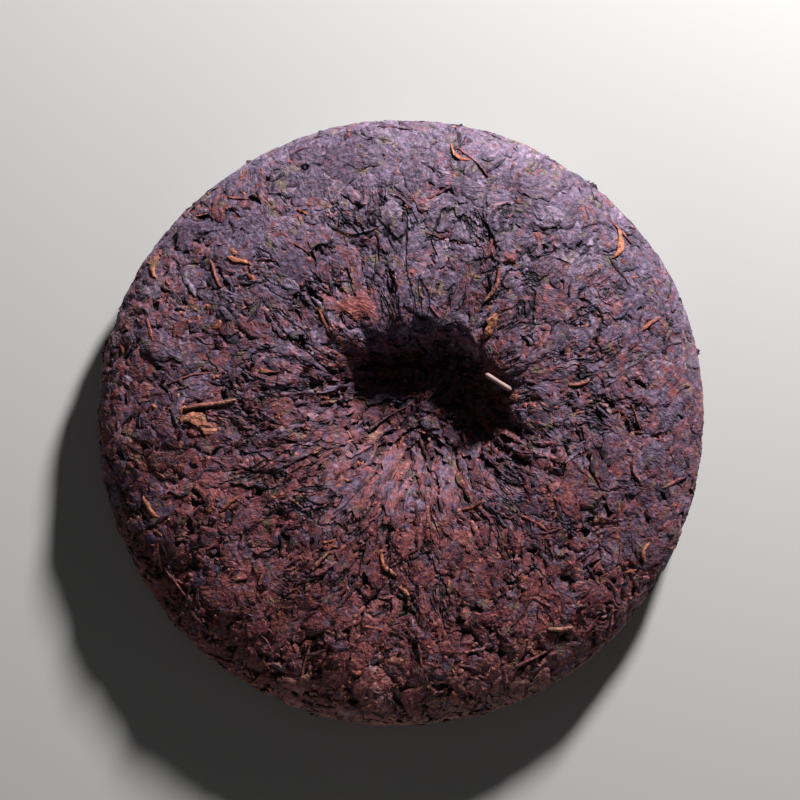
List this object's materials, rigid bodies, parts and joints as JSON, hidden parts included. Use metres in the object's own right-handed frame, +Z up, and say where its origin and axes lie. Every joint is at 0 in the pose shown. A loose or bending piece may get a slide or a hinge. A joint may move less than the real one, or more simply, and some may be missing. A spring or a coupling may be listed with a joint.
{
  "type": "pu erh tea cake",
  "caption": "Round cake of pressed dark tea leaves with a domed face, a rounded rim and an off-centre hollow where the cloth bag was knotted.",
  "frame": {"origin": "under the middle of the cake's outline, on the surface that it rests on", "axes": "+Z up through the thickness, out of the side with the hollow; +X and +Y across the cake, with the hollow off centre towards both"},
  "size_m": [0.1992, 0.1988, 0.027],
  "materials": {
    "pressed_leaf": "dark red-brown pressed tea leaves with a faint violet sheen, flecked with russet stems and golden tips"
  },
  "bodies": {
    "root": {"tea_cake": "pressed_leaf"}
  },
  "joints": []
}
